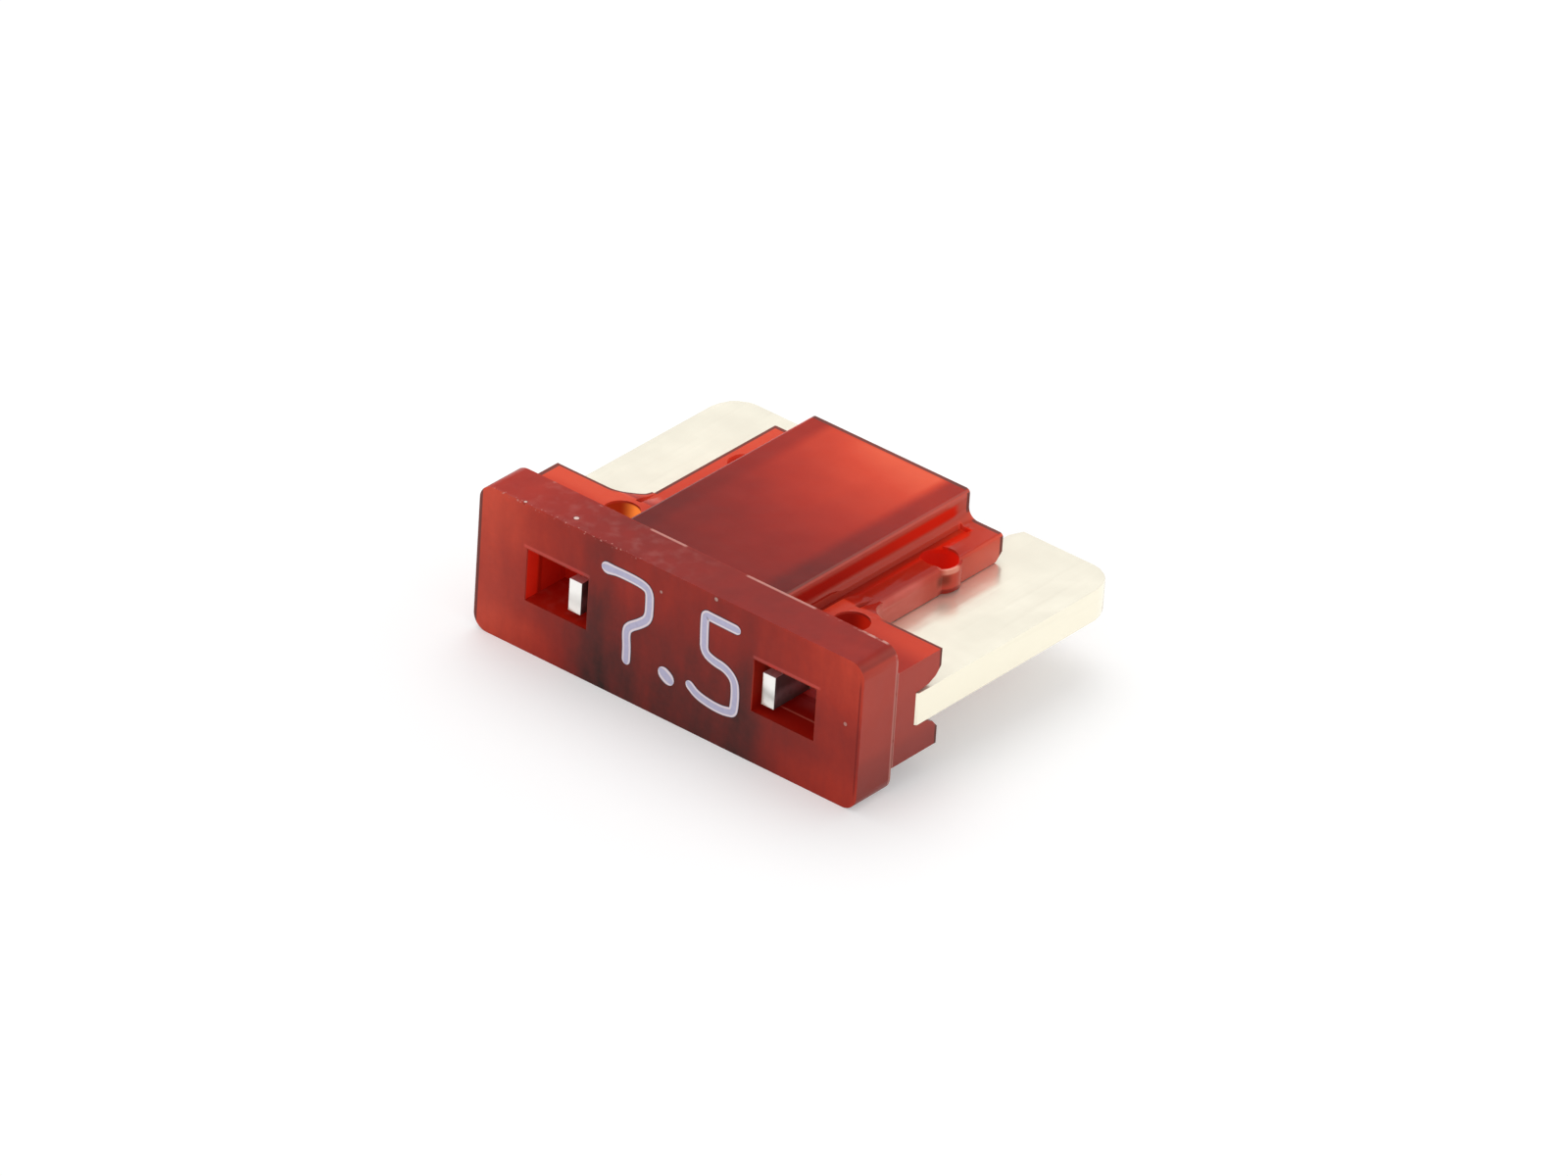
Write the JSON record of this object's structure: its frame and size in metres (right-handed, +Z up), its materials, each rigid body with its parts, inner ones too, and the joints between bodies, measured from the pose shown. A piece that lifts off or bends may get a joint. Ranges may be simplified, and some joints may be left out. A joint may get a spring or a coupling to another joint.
{
  "type": "automotive blade fuse",
  "caption": "Low-profile blade fuse: a translucent housing with a flat marked head holds a stamped metal strip with two flat blades, a thin link and test tabs.",
  "frame": {"origin": "middle of the outline seen from above, on the ground, as the fuse lies on its broad side", "axes": "+X along the head, across the two blades; +Y from the marked face to the blade tips; +Z up through the thickness"},
  "size_m": [0.011, 0.0088, 0.0036],
  "materials": {
    "housing": "translucent, softly glossy, brown-red",
    "strip": "bright tin-plated zinc strip, satin",
    "rating_print": "pale print on the marked face"
  },
  "bodies": {
    "root": {"housing": "housing", "fuse_element": "strip"}
  },
  "joints": []
}
